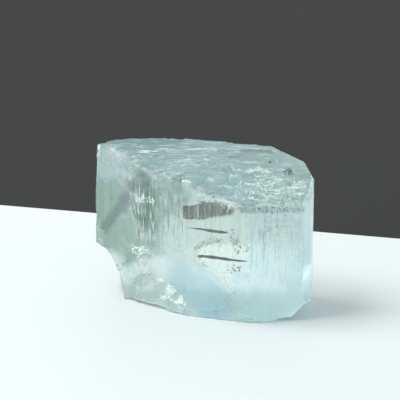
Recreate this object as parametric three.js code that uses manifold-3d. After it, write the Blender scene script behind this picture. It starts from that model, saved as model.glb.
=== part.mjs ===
// A pale blue topaz crystal: one solid piece broken off a larger prism. It stands with its c axis along +Z,
// so that the striated prism faces are upright. The top and the foot are cleavages across that axis. The top
// steps down in ledges and slopes away to the right, and shell-shaped pieces are missing from the left and
// from the foot of the front. Millimetres, +Z up, the broad front face towards -Y.
import * as THREE from "three";
import { mergeVertices } from "three/addons/utils/BufferGeometryUtils.js";
import Module from "manifold-3d";

const wasm = await Module();
wasm.setup();

const at = (x, y, z) => new THREE.Vector3(x, y, z);

// Driving dimensions.
const HEIGHT = 30; // the top cleavage above the foot
const RIDGE_PITCH = 0.75; // mean width of one striation
const SMOOTH_PITCH = 6; // the same on a face that is nearly plain
const PLAIN_RIDGE = 0.05; // a face whose striations are shallower than this is nearly plain
const LEDGE_PITCH = 1.9; // mean length of one jag along a ledge
const RIPPLES = 7; // waves round half of a fracture's ball, of which the crystal shows one or two
const BALL_RINGS = 36; // rings from end to end of a fracture's ball
const BALL_SIDES = 46; // sides round a fracture's ball
const BEYOND = 80; // size of a cutting block, larger than the crystal
const TOLERANCE = 0.004; // a cut merges edges that are shorter than this

// The prism's corners in plan, anticlockwise from the front edge, and the depth of the striations on the
// face that follows each.
const CORNERS = [
  { x: 8.4, y: 0.3, ridge: 0.2 },
  { x: 18.6, y: 1.3, ridge: 0.03 },
  { x: 20.5, y: 5.6, ridge: 0.03 },
  { x: 21.0, y: 11.4, ridge: 0.08 },
  { x: 19.6, y: 14.6, ridge: 0.12 },
  { x: 11.9, y: 17.4, ridge: 0.16 },
  { x: 3.6, y: 19.8, ridge: 0.1 },
  { x: -4.6, y: 21.9, ridge: 0.18 },
  { x: -13.6, y: 21.9, ridge: 0.12 },
  { x: -20.6, y: 20.2, ridge: 0.04 },
  { x: -21.0, y: 16.2, ridge: 0.02 },
  { x: -13.7, y: 10.6, ridge: 0.24 },
  { x: -8.8, y: 7.2, ridge: 0.06 },
  { x: -4.1, y: 4.3, ridge: 0.02 },
];

// The slopes in front of the top's ridge. They meet in a low step that stands on the step line.
const RIGHT_SLOPE = { point: at(12.8, 0.6, 23.6), outward: at(0.03, -0.46, 0.887) };
const MIDDLE_SLOPE = { point: at(5.5, 1.2, 24.0), outward: at(0.221, -0.442, 0.869) };
const STEP = { point: at(5.3, 0, 0), outward: at(1, 0.1, 0) };

// The top's right and left ends, and the bevels at its right and left front corners.
const BEVELS = [
  { point: at(19.6, 14.5, 27.4), outward: at(0.36, 0.04, 0.932) },
  { point: at(-20.6, 20.2, 29.25), outward: at(-0.23, 0.05, 0.972) },
  { point: at(20.9, 12.4, 25.0), outward: at(0.85, 0.1, 0.5) },
  { point: at(-21, 16.2, 24.8), outward: at(-0.604, -0.585, 0.541) },
];

// The ledges of the top cleavage: each floor's height, its back line from left to right and its raggedness.
const LEDGES = [
  { floor: 29.5, line: [[-24, 17.6], [-12, 17.4], [-2, 15.4], [13, 14.4]], jag: 0.5, seed: 1 },
  { floor: 29.0, line: [[-24, 15.2], [-13, 15.3], [-3, 12.4], [6.5, 12.2]], jag: 0.6, seed: 2 },
  { floor: 28.2, line: [[-24, 12.4], [-14, 13.2], [-6, 9.4], [0, 3.4]], jag: 0.7, seed: 3 },
];

// The conchoidal fractures. Each is the bite of a ball with three half-axes, level, upright and outward,
// leaned in radians about outward.
const FRACTURES = {
  frontHollow: { deepest: at(-2.6, 5.9, 5.6), outward: at(-0.4, -0.9, 0.1), ball: [26, 9.5, 9], lean: -0.3 },
  leftHollow: { deepest: at(-15.6, 13.6, 12.6), outward: at(-0.6, -0.79, 0), ball: [10, 17, 11], lean: -0.4 },
  leftBite: { deepest: at(-15.8, 15, 0.2), outward: at(-0.99, -0.12, 0.04), ball: [30, 12, 11.5], lean: 0 },
  rightFoot: { deepest: at(18.5, 5.6, 1.2), outward: at(0.68, -0.34, -0.65), ball: [30, 30, 40], lean: 0 },
  rightBack: { deepest: at(9, 16.6, 4), outward: at(0.2, 0.9, -0.3), ball: [17, 11, 12], lean: 0.3 },
  leftBack: { deepest: at(-12, 20.2, 4.6), outward: at(-0.3, 0.9, -0.2), ball: [15, 10, 11], lean: 0 },
};
const RIPPLE = 0.14; // height of a fracture's ripples

// Small chips broken out of the edges, first round the front and then at the back. Each bites so deep into
// its point of the edge.
const CHIPS = [
  { edge: at(18.6, 1.3, 16.2), outward: at(0.75, -0.65, 0.1), bite: 0.35, radius: 4 },
  { edge: at(18.6, 1.3, 9.0), outward: at(0.7, -0.7, -0.1), bite: 0.25, radius: 3.5 },
  { edge: at(8.4, 0.3, 0), outward: at(0.1, -0.8, -0.6), bite: 0.35, radius: 6 },
  { edge: at(13.6, 0.8, 0), outward: at(0, -0.75, -0.65), bite: 0.3, radius: 8 },
  { edge: at(-8.8, 7.2, 0), outward: at(-0.5, -0.7, -0.5), bite: 0.8, radius: 6 },
  { edge: at(-13.7, 10.6, 3.2), outward: at(-0.8, -0.6, -0.1), bite: 0.6, radius: 5 },
  { edge: at(-9.0, 7.4, 28.2), outward: at(-0.4, -0.7, 0.6), bite: 0.5, radius: 4 },
  { edge: at(0.4, 2.9, 26.2), outward: at(0, -0.8, 0.6), bite: 0.4, radius: 5 },
  { edge: at(11.0, 0.5, 23.5), outward: at(0.1, -0.8, 0.6), bite: 0.5, radius: 5 },
  { edge: at(20.5, 5.6, 25.9), outward: at(0.8, -0.3, 0.5), bite: 0.6, radius: 5 },
  { edge: at(21.0, 10.8, 13.5), outward: at(1, 0, 0), bite: 0.35, radius: 16 },
  { edge: at(11.9, 17.4, 29.8), outward: at(0.2, 0.7, 0.65), bite: 0.35, radius: 5 },
  { edge: at(-4.6, 21.9, 29.9), outward: at(0, 0.75, 0.65), bite: 0.4, radius: 4 },
  { edge: at(-13.6, 21.9, 15.0), outward: at(-0.2, 0.95, 0.1), bite: 0.4, radius: 7 },
  { edge: at(3.6, 19.8, 12.0), outward: at(0.15, 0.98, 0), bite: 0.3, radius: 8 },
  { edge: at(-20.6, 20.2, 22.0), outward: at(-0.7, 0.7, 0.1), bite: 0.4, radius: 5 },
  { edge: at(-3.0, 21.4, 0), outward: at(0.2, 0.8, -0.5), bite: 0.7, radius: 6 },
];
const CHIP_STRETCH = 1.3; // a chip's height over its width

// A repeatable spread of numbers from 0 to 1.
function spread(seed) {
  const s = Math.sin(seed * 127.1 + 31.7) * 43758.5453;
  return s - Math.floor(s);
}

// A closed three.js geometry as a manifold-3d solid.
function solidOf(geometry) {
  const bare = geometry.index ? geometry.toNonIndexed() : geometry.clone();
  bare.deleteAttribute("normal");
  bare.deleteAttribute("uv");
  const merged = mergeVertices(bare, 1e-4);
  return new wasm.Manifold(
    new wasm.Mesh({
      numProp: 3,
      vertProperties: merged.attributes.position.array,
      triVerts: new Uint32Array(merged.index.array),
      tolerance: TOLERANCE,
    }),
  );
}

// A manifold-3d solid as a three.js geometry.
function geometryOf(solid) {
  const mesh = solid.getMesh();
  const geometry = new THREE.BufferGeometry()
    .setAttribute("position", new THREE.BufferAttribute(mesh.vertProperties, 3))
    .setIndex(new THREE.BufferAttribute(mesh.triVerts, 1));
  geometry.computeVertexNormals();
  return geometry;
}

// The upright solid under a closed outline in plan.
function upright(outline, height) {
  const shape = new THREE.Shape(outline);
  return new THREE.ExtrudeGeometry(shape, { depth: height, bevelEnabled: false });
}

// The prism, its faces grooved along their height by growth striations.
function striatedPrism() {
  const outline = [];
  CORNERS.forEach((corner, c) => {
    const next = CORNERS[(c + 1) % CORNERS.length];
    const from = new THREE.Vector2(corner.x, corner.y);
    const along = new THREE.Vector2(next.x, next.y).sub(from);
    const inward = new THREE.Vector2(-along.y, along.x).normalize();
    const pitch = corner.ridge < PLAIN_RIDGE ? SMOOTH_PITCH : RIDGE_PITCH;
    const ridges = Math.max(1, Math.round(along.length() / pitch));
    for (let i = 0; i < ridges; i++) {
      const share = i === 0 ? 0 : (i + 0.6 * (spread(c * 50 + i) - 0.5)) / ridges;
      const depth = i === 0 ? 0 : corner.ridge * spread(c * 70 + i + 9);
      outline.push(from.clone().addScaledVector(along, share).addScaledVector(inward, depth));
    }
  });
  return solidOf(upright(outline, HEIGHT));
}

// Everything beyond a plane: a block whose near face passes through the point and faces against outward.
function beyond({ point, outward }) {
  const turn = new THREE.Quaternion().setFromUnitVectors(at(0, 0, 1), outward.clone().normalize());
  const block = new THREE.BoxGeometry(BEYOND, BEYOND, BEYOND).translate(0, 0, BEYOND / 2);
  return solidOf(block.applyQuaternion(turn).translate(point.x, point.y, point.z));
}

// What a ledge takes away: all above its floor, in front of its ragged back line.
function ledge({ floor, line, jag, seed }) {
  const curve = new THREE.SplineCurve(line.map(([x, y]) => new THREE.Vector2(x, y)));
  const jags = Math.round(curve.getLength() / LEDGE_PITCH);
  const back = [];
  for (let i = 0; i <= jags; i++) {
    const shift = i === 0 || i === jags ? 0 : 0.6 * (spread(seed * 53 + i) - 0.5);
    const point = curve.getPointAt((i + shift) / jags);
    point.y += jag * (spread(seed * 31 + i) - 0.5);
    back.push(point);
  }
  const frontLeft = new THREE.Vector2(back[0].x, -BEYOND);
  const frontRight = new THREE.Vector2(back.at(-1).x, -BEYOND);
  return solidOf(upright([...back.reverse(), frontLeft, frontRight], BEYOND).translate(0, 0, floor));
}

// What a conchoidal fracture takes away: its ball, rippled round the upright axis and sunk down to deepest.
function fracture({ deepest, outward, ball, lean, ripple = RIPPLE }) {
  const [level, tall, deep] = ball;
  const profile = [];
  for (let i = 0; i <= BALL_RINGS; i++) {
    const share = i / BALL_RINGS;
    const swell = Math.sin(RIPPLES * 2 * Math.PI * share) * Math.exp(1.5 * (share - 1));
    const radius = 1 + (ripple / deep) * swell;
    const angle = Math.PI * (1 - share);
    profile.push(new THREE.Vector2(Math.sin(angle) * radius, Math.cos(angle) * radius));
  }
  profile[0].x = 0;
  profile.at(-1).x = 0;
  const out = outward.clone().normalize();
  const right = at(0, 0, 1).cross(out).normalize();
  const basis = new THREE.Matrix4().makeBasis(right, out.clone().cross(right), out);
  const centre = deepest.clone().addScaledVector(out, deep);
  const shape = new THREE.LatheGeometry(profile, BALL_SIDES).scale(level, tall, deep).rotateZ(lean);
  return solidOf(shape.applyMatrix4(basis).translate(centre.x, centre.y, centre.z));
}

// What a small chip takes away.
function chip({ edge, outward, bite, radius }) {
  const deepest = edge.clone().addScaledVector(outward.clone().normalize(), -bite);
  return fracture({ deepest, outward, ball: [radius, CHIP_STRETCH * radius, radius], lean: 0, ripple: 0 });
}

// What the two slopes take away, one on each side of the step.
function slopes() {
  const right = beyond(RIGHT_SLOPE).intersect(beyond(STEP));
  return beyond(MIDDLE_SLOPE).subtract(beyond(STEP)).add(right);
}

const cuts = [
  slopes(),
  ...BEVELS.map(beyond),
  ...LEDGES.map(ledge),
  ...Object.values(FRACTURES).map(fracture),
  ...CHIPS.map(chip),
];
const crystal = cuts.reduce((solid, cut) => solid.subtract(cut), striatedPrism());

const geometry = geometryOf(crystal);
geometry.computeBoundingBox();
const { min, max } = geometry.boundingBox;
geometry.translate(-(min.x + max.x) / 2, -(min.y + max.y) / 2, -min.z);

const topaz = new THREE.MeshStandardMaterial({
  name: "topaz",
  color: 0xb4d3d0,
  roughness: 0.12,
  metalness: 0,
  transparent: true,
  opacity: 0.5,
});
const mesh = new THREE.Mesh(geometry, topaz);
mesh.name = "topaz_crystal";
const part = new THREE.Group();
part.add(mesh);

export default part;
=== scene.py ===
"""A pale blue topaz crystal on a plain pale sill.

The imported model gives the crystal's solid. This script lays a fine surface over it, with growth striations,
etched flecks, ripples and worn edges, sets the cracks and specks that show inside it, and lights it softly.
"""

from __future__ import annotations

import logging
import math
from dataclasses import dataclass, field, replace
from enum import Enum
from typing import Any, Mapping, Optional, Sequence, Union

import bmesh
import bpy
import numpy as np
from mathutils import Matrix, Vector


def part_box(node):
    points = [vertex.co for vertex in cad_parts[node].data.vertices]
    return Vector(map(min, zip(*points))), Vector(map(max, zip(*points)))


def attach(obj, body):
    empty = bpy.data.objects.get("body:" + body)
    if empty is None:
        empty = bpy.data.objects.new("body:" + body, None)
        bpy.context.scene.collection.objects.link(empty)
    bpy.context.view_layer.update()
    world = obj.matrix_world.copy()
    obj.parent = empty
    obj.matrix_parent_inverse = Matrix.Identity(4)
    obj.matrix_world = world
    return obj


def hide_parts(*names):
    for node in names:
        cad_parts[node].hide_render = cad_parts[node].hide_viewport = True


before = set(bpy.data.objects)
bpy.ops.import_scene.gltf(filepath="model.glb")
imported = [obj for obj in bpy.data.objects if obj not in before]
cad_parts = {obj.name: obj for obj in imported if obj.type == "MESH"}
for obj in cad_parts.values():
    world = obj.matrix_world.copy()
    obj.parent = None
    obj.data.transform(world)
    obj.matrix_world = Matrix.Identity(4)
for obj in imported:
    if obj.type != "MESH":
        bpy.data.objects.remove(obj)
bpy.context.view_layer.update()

log = logging.getLogger("topaz")

MM = 0.001
NODE = "topaz_crystal"
BODY = "root"

Colour = tuple[float, float, float]
Place = tuple[float, float, float]
Span = tuple[float, float]
Number = Union["Wire", float]
Node = bpy.types.Node
Socket = bpy.types.NodeSocket
Mesh = bpy.types.Mesh
Material = bpy.types.Material
Piece = bpy.types.Object

WHITE: Colour = (1.0, 1.0, 1.0)


class Wire:
    """A node's output socket, which takes part in arithmetic as a number does."""

    def __init__(self, graph: "Graph", socket: Socket) -> None:
        """Keeps the socket and the graph that its Math nodes are added to."""
        self.graph = graph
        self.socket = socket

    def maths(self, operation: str, *operands: Number) -> "Wire":
        """Adds one Math node.

        Args:
            operation: the Math node's operation, such as "ADD".
            operands: its inputs in order, each a wire or a plain number.

        Returns:
            The node's result.
        """
        made = self.graph.node("ShaderNodeMath", {"operation": operation}, dict(enumerate(operands)))
        return Wire(self.graph, made.outputs[0])

    def __add__(self, other: Number) -> "Wire":
        """The sum."""
        return self.maths("ADD", self, other)

    def __radd__(self, other: Number) -> "Wire":
        """The sum, with a number on the left."""
        return self.maths("ADD", other, self)

    def __sub__(self, other: Number) -> "Wire":
        """The difference."""
        return self.maths("SUBTRACT", self, other)

    def __rsub__(self, other: Number) -> "Wire":
        """The difference, with a number on the left."""
        return self.maths("SUBTRACT", other, self)

    def __mul__(self, other: Number) -> "Wire":
        """The product."""
        return self.maths("MULTIPLY", self, other)

    def __rmul__(self, other: Number) -> "Wire":
        """The product, with a number on the left."""
        return self.maths("MULTIPLY", other, self)

    def __pow__(self, other: Number) -> "Wire":
        """The power."""
        return self.maths("POWER", self, other)

    def __rpow__(self, other: Number) -> "Wire":
        """The power, with a number on the left."""
        return self.maths("POWER", other, self)

    def floor(self) -> "Wire":
        """The whole number below."""
        return self.maths("FLOOR", self)

    def step(self, low: float, high: float) -> "Wire":
        """A smooth step.

        Args:
            low: where the result is 0. It may be above high, which turns the step round.
            high: where the result is 1.

        Returns:
            The step, from 0 to 1.
        """
        made = self.graph.node(
            "ShaderNodeMapRange",
            {"interpolation_type": "SMOOTHSTEP"},
            {"Value": self, "From Min": low, "From Max": high},
        )
        return Wire(self.graph, made.outputs["Result"])


@dataclass(frozen=True)
class Noise:
    """The make of a noise: its waves a metre along each axis, its finer layers and how strong those are."""

    waves: Place
    detail: float = 3.0
    roughness: float = 0.5


class Graph:
    """A shader or geometry node tree under construction."""

    def __init__(self, tree: bpy.types.NodeTree) -> None:
        """Keeps the tree."""
        self.tree = tree

    def node(
        self,
        kind: str,
        settings: Optional[Mapping[str, Any]] = None,
        inputs: Optional[Mapping[Union[str, int], Any]] = None,
    ) -> Node:
        """Adds any node.

        Args:
            kind: the node's type, such as "ShaderNodeTexNoise".
            settings: the node's own properties, set first.
            inputs: a wire, a socket or a plain value for each input, by its name or number.

        Returns:
            The new node.
        """
        made = self.tree.nodes.new(kind)
        for name, value in (settings or {}).items():
            setattr(made, name, value)
        for name, value in (inputs or {}).items():
            if isinstance(value, Wire):
                value = value.socket
            if isinstance(value, Socket):
                self.tree.links.new(value, made.inputs[name])
            else:
                made.inputs[name].default_value = value
        return made

    def stretched(self, vector: Any, scale: Place) -> Socket:
        """Multiplies a vector by a scale along each axis."""
        made = self.node("ShaderNodeVectorMath", {"operation": "MULTIPLY"}, {0: vector, 1: scale})
        return made.outputs[0]

    def scaled(self, vector: Any, scale: Any) -> Socket:
        """Multiplies a vector by one number."""
        made = self.node("ShaderNodeVectorMath", {"operation": "SCALE"}, {0: vector, "Scale": scale})
        return made.outputs[0]

    def noise(self, place: Any, make: Noise) -> Wire:
        """Adds a noise texture.

        Args:
            place: the position that it is read at.
            make: its waves and layers.

        Returns:
            The noise, around 0.5.
        """
        inputs = {
            "Vector": self.stretched(place, make.waves),
            "Scale": 1.0,
            "Detail": make.detail,
            "Roughness": make.roughness,
        }
        return Wire(self, self.node("ShaderNodeTexNoise", None, inputs).outputs[0])

    def blend(self, share: Number, first: Any, second: Any) -> Socket:
        """Mixes two colours.

        Args:
            share: how much of the second colour there is.
            first: a colour or a socket.
            second: a colour or a socket.

        Returns:
            The mixed colour's socket.
        """
        sides = [(*c, 1.0) if isinstance(c, tuple) else c for c in (first, second)]
        made = self.node("ShaderNodeMix", {"data_type": "RGBA"}, {0: share, 6: sides[0], 7: sides[1]})
        return made.outputs[2]


class Shader(Graph):
    """A material's node tree under construction."""

    def __init__(self, name: str) -> None:
        """Starts an empty material.

        Args:
            name: the material's name.
        """
        self.material = bpy.data.materials.new(name)
        self.material.use_nodes = True
        super().__init__(self.material.node_tree)
        self.tree.nodes.clear()
        self.output = self.node("ShaderNodeOutputMaterial")

    def place(self) -> Socket:
        """The position in the part's frame, in metres."""
        return self.node("ShaderNodeTexCoord").outputs["Object"]

    def mask(self, name: str) -> Wire:
        """A named attribute of the surface."""
        return Wire(self, self.node("ShaderNodeAttribute", {"attribute_name": name}).outputs["Fac"])

    def surface(self, inputs: Mapping[str, Any]) -> Material:
        """Adds the Principled shader.

        Args:
            inputs: what its sockets are set or linked to.

        Returns:
            The finished material.
        """
        shader = self.node("ShaderNodeBsdfPrincipled", None, inputs)
        self.tree.links.new(shader.outputs[0], self.output.inputs["Surface"])
        return self.material


class Recipe(Graph):
    """A Geometry Nodes tree under construction, with named sizes, that works on one mesh."""

    def __init__(self, name: str) -> None:
        """Starts the tree with its mesh input.

        Args:
            name: the tree's name.
        """
        super().__init__(bpy.data.node_groups.new(name, "GeometryNodeTree"))
        self.values: dict[str, float] = {}
        self.tree.interface.new_socket("Mesh", in_out="INPUT", socket_type="NodeSocketGeometry")
        self.tree.interface.new_socket("Mesh", in_out="OUTPUT", socket_type="NodeSocketGeometry")
        self.group_input = self.node("NodeGroupInput")

    def mesh(self) -> Socket:
        """The mesh that the tree works on."""
        return self.group_input.outputs[0]

    def place(self) -> Socket:
        """The position in the part's frame, in metres."""
        return self.node("GeometryNodeInputPosition").outputs[0]

    def size(self, name: str, value: float) -> Wire:
        """Adds a named number to the tree's inputs.

        Args:
            name: the input's name.
            value: what the modifier sets it to.

        Returns:
            The input as a wire.
        """
        made = self.tree.interface.new_socket(name, in_out="INPUT", socket_type="NodeSocketFloat")
        self.values[made.identifier] = value
        return Wire(self, next(s for s in self.group_input.outputs if s.identifier == made.identifier))

    def mask(self, name: str) -> Wire:
        """A named attribute of the mesh."""
        made = self.node("GeometryNodeInputNamedAttribute", {"data_type": "FLOAT"}, {"Name": name})
        return Wire(self, made.outputs["Attribute"])

    def random(self, low: float, high: float, seed: int) -> Socket:
        """Draws a number between low and high for each point."""
        made = self.node("FunctionNodeRandomValue", {"data_type": "FLOAT"}, {2: low, 3: high, "Seed": seed})
        return made.outputs[1]

    def moved(self, geometry: Socket, how: str, vector: Socket) -> Socket:
        """Moves each point to a "Position" or by an "Offset", as how says."""
        return self.node("GeometryNodeSetPosition", None, {0: geometry, how: vector}).outputs[0]

    def softened(self, geometry: Socket, weight: Wire, rounds: int) -> Socket:
        """Moves each point towards its neighbours, which rounds edges off.

        Args:
            geometry: the mesh's socket.
            weight: how far each point goes, from 0 to 1.
            rounds: how many times over.

        Returns:
            The softened mesh's socket.
        """
        inputs = {"Value": self.place(), "Iterations": rounds, "Weight": weight}
        blurred = self.node("GeometryNodeBlurAttribute", {"data_type": "FLOAT_VECTOR"}, inputs)
        return self.moved(geometry, "Position", blurred.outputs[0])

    def finished(self, geometry: Socket, carrier: Mesh, material: Material) -> Mesh:
        """Ends the tree, runs it on a mesh and takes the result.

        Args:
            geometry: the geometry that the tree makes.
            carrier: the mesh that it works on, which is used up.
            material: the material of all that it makes.

        Returns:
            The result as a plain mesh.
        """
        real = self.node("GeometryNodeRealizeInstances", None, {0: geometry})
        dressed = self.node("GeometryNodeSetMaterial", None, {0: real.outputs[0], "Material": material})
        self.node("NodeGroupOutput", None, {0: dressed.outputs[0]})
        holder = bpy.data.objects.new("holder", carrier)
        bpy.context.scene.collection.objects.link(holder)
        modifier = holder.modifiers.new(self.tree.name, "NODES")
        modifier.node_group = self.tree
        for identifier, value in self.values.items():
            modifier[identifier] = value
        seen = bpy.context.evaluated_depsgraph_get()
        made = bpy.data.meshes.new_from_object(
            holder.evaluated_get(seen), preserve_all_data_layers=True, depsgraph=seen
        )
        holder.modifiers.remove(modifier)
        bpy.data.objects.remove(holder)
        bpy.data.meshes.remove(carrier)
        return made


def show(name: str, mesh: Mesh, material: Material) -> Piece:
    """Puts a mesh in the scene.

    Args:
        name: the object's name.
        mesh: its mesh, in the part's frame.
        material: its only material.

    Returns:
        The new object, at the origin.
    """
    mesh.name = name
    mesh.materials.clear()
    mesh.materials.append(material)
    made = bpy.data.objects.new(name, mesh)
    bpy.context.scene.collection.objects.link(made)
    return made


def set_in_crystal(name: str, mesh: Mesh, material: Material) -> Piece:
    """Puts a mesh in the scene as a small piece of the crystal, fixed to its body.

    Args:
        name: the piece's name.
        mesh: its mesh, in the part's frame.
        material: its only material.

    Returns:
        The piece.
    """
    made = show(name, mesh, material)
    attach(made, BODY)
    return made


def points_of(mesh: Mesh) -> np.ndarray:
    """Reads a mesh's points.

    Args:
        mesh: the mesh.

    Returns:
        A row of three numbers for each point, in metres.
    """
    points = np.empty(3 * len(mesh.vertices))
    mesh.vertices.foreach_get("co", points)
    return points.reshape(-1, 3)


def add_mask(mesh: Mesh, name: str, values: np.ndarray) -> None:
    """Keeps a number for each point of a mesh as a named attribute."""
    mesh.attributes.new(name, "FLOAT", "POINT").data.foreach_set("value", values.astype(np.float32))


def hold_in_box(mesh: Mesh) -> None:
    """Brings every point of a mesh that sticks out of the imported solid's box back to it."""
    mesh.vertices.foreach_set("co", np.clip(points_of(mesh), *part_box(NODE)).ravel())


def eased(values: np.ndarray, low: float, high: float) -> np.ndarray:
    """A smooth step from 0 at low to 1 at high, for arrays."""
    share = np.clip((values - low) / (high - low), 0, 1)
    return share * share * (3 - 2 * share)


@dataclass(frozen=True)
class Tint:
    """A colour that is laid over others where a noise runs from low to high, as strong as its share."""

    colour: Colour
    low: float
    high: float
    share: float

    def over(self, shader: Shader, below: Any, mask: Wire, noise: Wire) -> Socket:
        """Lays the colour over another where the mask is raised."""
        return shader.blend(mask * noise.step(self.low, self.high) * self.share, below, self.colour)


@dataclass(frozen=True)
class TopazFinish:
    """Clear pale blue crystal, frosted where the frost mask says, with tinted zones and growth lines. Some
    zones are painted light: shade on the left end and along the left face's edge, a sheen on the lower left
    and a reflection on the top-left bevel.
    """

    # The noises, in waves a metre.
    drift: Noise = Noise((380.0, 380.0, 380.0), 5.0, 0.66)
    streaks: Noise = Noise((45.0, 1300.0, 500.0), 3.0, 0.6)
    veins: Noise = Noise((350.0, 1300.0, 1300.0), 5.0, 0.7)
    speckles: Noise = Noise((1300.0, 1300.0, 900.0), 4.0, 0.7)
    cloud: Noise = Noise((420.0, 420.0, 300.0), 4.0)
    blotches: Noise = Noise((420.0, 420.0, 230.0), 5.0, 0.66)
    lines: Noise = Noise((1900.0, 1900.0, 40.0), 4.0, 0.72)
    grit: Noise = Noise((3800.0, 3800.0, 3800.0), 2.0)
    flecks: Noise = Noise((900.0, 2000.0, 2000.0), 4.0, 0.65)
    # The colours, and what is laid over them.
    body_tint: Colour = (0.965, 1.0, 0.985)
    window_tint: Colour = (1.0, 0.99, 0.90)
    crown_tint: Colour = (0.165, 0.305, 0.305)
    streak_tint: Colour = (0.15, 0.31, 0.33)
    drift_mottle: Tint = Tint((0.58, 0.74, 0.72), 0.45, 0.7, 0.6)
    fine_mottle: Tint = Tint((0.58, 0.74, 0.72), 0.52, 0.66, 0.5)
    vein_shade: Tint = Tint((0.15, 0.23, 0.20), 0.50, 0.62, 0.45)
    vein_light: Tint = Tint(WHITE, 0.46, 0.38, 0.8)
    fleck_shade: Tint = Tint((0.42, 0.60, 0.58), 0.5, 0.60, 0.6)
    line_light: Tint = Tint(WHITE, 0.36, 0.26, 0.9)
    line_shade: Tint = Tint((0.15, 0.23, 0.20), 0.5, 0.64, 0.76)
    # Of these zones, the first darkens the crystal's left end as painted shade; the violet one is a painted
    # reflection of the sky on the top-left bevel; the near-white one lightens the lower left front as a
    # painted sheen; the smoky one is partly painted shade along the left face's diagonal edge and over the
    # left end, and partly a darker tint on the top's front edge.
    zones: tuple[tuple[str, Colour], ...] = (
        ("painted_shade", (0.20, 0.235, 0.195)),
        ("green", (0.23, 0.38, 0.28)),
        ("blue", (0.63, 0.82, 0.95)),
        ("aqua", (0.84, 0.98, 1.0)),
        ("pale", (1.0, 1.0, 0.93)),
        ("painted_sky_reflection", (0.55, 0.63, 0.68)),
        ("shade_and_smoke", (0.10, 0.15, 0.14)),
    )
    # How the zones, the crown, the ledges and the polished patches are drawn.
    zone_fray: float = 2.2
    zone_edge: Span = (0.15, 0.95)
    crown_share: float = 0.8
    streak_edge: Span = (0.42, 0.62)
    streak_swing: float = 0.4
    streak_base: float = 0.62
    mottle_spared: float = 0.8
    groove_power: float = 1.5
    polish_fray: float = 3.4
    polish_edge: Span = (0.2, 0.85)
    # The fine relief.
    line_height: float = 5.0
    clean_height: float = 2.5
    fleck_height: float = 3.0
    grit_height: float = 0.5
    bump_strength: float = 0.8
    bump_distance: float = 0.1 * MM
    # The glass.
    clear: float = 0.03
    ior: float = 1.61
    see_through: float = 0.94
    absorbed: Colour = (0.42, 0.84, 0.86)
    density: float = 14.0

    def tinted(self, shader: Shader, place: Socket, lines: Wire, flecks: Wire) -> Socket:
        """Works out the colour of the surface.

        Args:
            shader: the material's tree.
            place: the position socket.
            lines: the noise of the upright growth lines.
            flecks: the noise of the etched flecks.

        Returns:
            The colour's socket.
        """
        drift = shader.noise(place, self.drift) - 0.5
        streaks = shader.noise(place, self.streaks).step(*self.streak_edge)
        veins = shader.noise(place, self.veins)
        top = shader.mask("top")
        grooves = shader.mask("grooves") ** self.groove_power
        mottled = 1.0 - shader.mask("clean") * self.mottle_spared
        colour = shader.blend(shader.mask("window"), self.body_tint, self.window_tint)
        colour = self.drift_mottle.over(shader, colour, mottled, drift + 0.5)
        colour = self.fine_mottle.over(shader, colour, mottled, shader.noise(place, self.speckles))
        for name, tint in self.zones:
            zone = (shader.mask(name) * (drift * self.zone_fray + 1.0)).step(*self.zone_edge)
            colour = shader.blend(zone, colour, tint)
        colour = shader.blend(top * self.crown_share, colour, self.crown_tint)
        ledges = shader.mask("ledges") * (streaks * self.streak_swing + self.streak_base)
        colour = shader.blend(ledges, colour, self.streak_tint)
        colour = self.vein_shade.over(shader, colour, top, veins)
        colour = self.vein_light.over(shader, colour, top, veins)
        colour = self.fleck_shade.over(shader, colour, shader.mask("etching"), flecks)
        colour = self.line_light.over(shader, colour, grooves, lines)
        return self.line_shade.over(shader, colour, grooves, lines)

    def material(self) -> Material:
        """Builds the material.

        Returns:
            The crystal's material.
        """
        shader = Shader("topaz")
        place = shader.place()
        frost = shader.mask("frost")
        cloud = shader.noise(place, self.cloud)
        blotches = shader.noise(place, self.blotches) - 0.5
        polish = (shader.mask("polish") * (blotches * self.polish_fray + 1.0)).step(*self.polish_edge)
        lines = shader.noise(place, self.lines)
        flecks = shader.noise(place, self.flecks)
        height = (
            shader.mask("grooves") * lines * (self.line_height - shader.mask("clean") * self.clean_height)
            + shader.mask("etching") * flecks * self.fleck_height
            + frost * shader.noise(place, self.grit) * self.grit_height
        )
        bump = shader.node(
            "ShaderNodeBump",
            None,
            {"Strength": self.bump_strength, "Distance": self.bump_distance, "Height": height},
        )
        volume = shader.node(
            "ShaderNodeVolumeAbsorption", None, {"Color": (*self.absorbed, 1.0), "Density": self.density}
        )
        shader.tree.links.new(volume.outputs[0], shader.output.inputs["Volume"])
        return shader.surface(
            {
                "Base Color": self.tinted(shader, place, lines, flecks),
                "Roughness": self.clear + frost * (0.5 + cloud) * (1 - polish),
                "IOR": self.ior,
                "Transmission Weight": self.see_through,
                "Normal": bump.outputs[0],
            }
        )


@dataclass(frozen=True)
class PlainFinish:
    """A finish that drifts between a colour and its shade."""

    name: str
    colour: Colour
    roughness: float
    shade: Colour
    waves: float
    edge: Span = (0.35, 0.65)

    def material(self) -> Material:
        """Builds the material.

        Returns:
            The finish's material.
        """
        shader = Shader(self.name)
        drift = shader.noise(shader.place(), Noise((self.waves,) * 3)).step(*self.edge)
        colour = shader.blend(drift, self.colour, self.shade)
        return shader.surface({"Base Color": colour, "Roughness": self.roughness})


@dataclass(frozen=True)
class Plane:
    """A flat face of the crystal, in millimetres."""

    point: Place
    normal: Place

    def depth(self, points: np.ndarray) -> np.ndarray:
        """How far under the plane each point is."""
        normal = np.array(self.normal) / np.linalg.norm(self.normal)
        return -(points - np.array(self.point)) @ normal


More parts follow.
